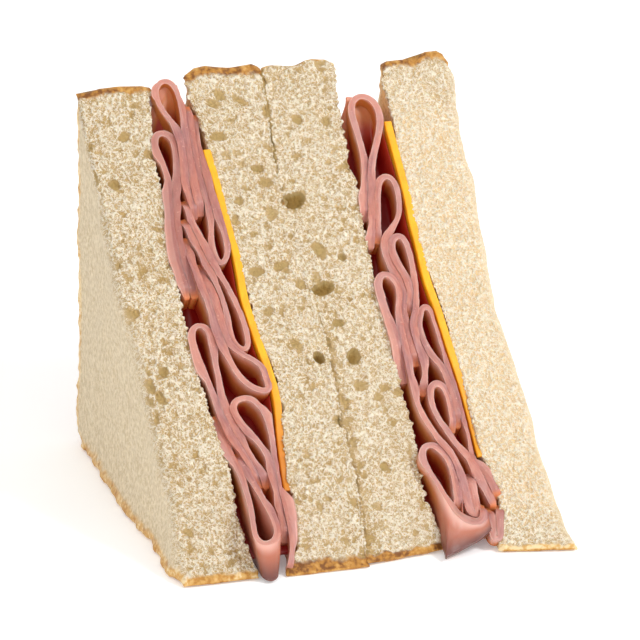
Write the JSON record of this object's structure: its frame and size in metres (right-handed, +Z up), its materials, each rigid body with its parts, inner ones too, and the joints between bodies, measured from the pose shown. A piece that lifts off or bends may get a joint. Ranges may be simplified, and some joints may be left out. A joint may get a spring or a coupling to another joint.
{
  "type": "ham and cheese sandwich",
  "caption": "Ham and cheese sandwich on thick white bread, cut corner to corner, its two halves stood side by side with the folded ham showing at the cut.",
  "frame": {"origin": "middle of the footprint, on the table", "axes": "+Z up; +X across the layers of bread and filling; the sloping cut faces look towards -Y and the crusted back stands at +Y"},
  "size_m": [0.1154, 0.1286, 0.1091],
  "materials": {
    "bread": "open crumb with a thin golden crust, dull",
    "ham": "moist, soft sheen",
    "cheese": "smooth, slight sheen"
  },
  "bodies": {
    "root": {"bread_1": "bread", "bread_2": "bread", "bread_3": "bread", "bread_4": "bread", "cheese_left": "cheese", "cheese_right": "cheese", "ham_left_1": "ham", "ham_left_2": "ham", "ham_left_3": "ham", "ham_left_4": "ham", "ham_left_5": "ham", "ham_left_6": "ham", "ham_left_7": "ham", "ham_left_8": "ham", "ham_right_1": "ham", "ham_right_2": "ham", "ham_right_3": "ham", "ham_right_4": "ham", "ham_right_5": "ham", "ham_right_6": "ham", "ham_right_7": "ham", "ham_right_8": "ham"}
  },
  "joints": []
}
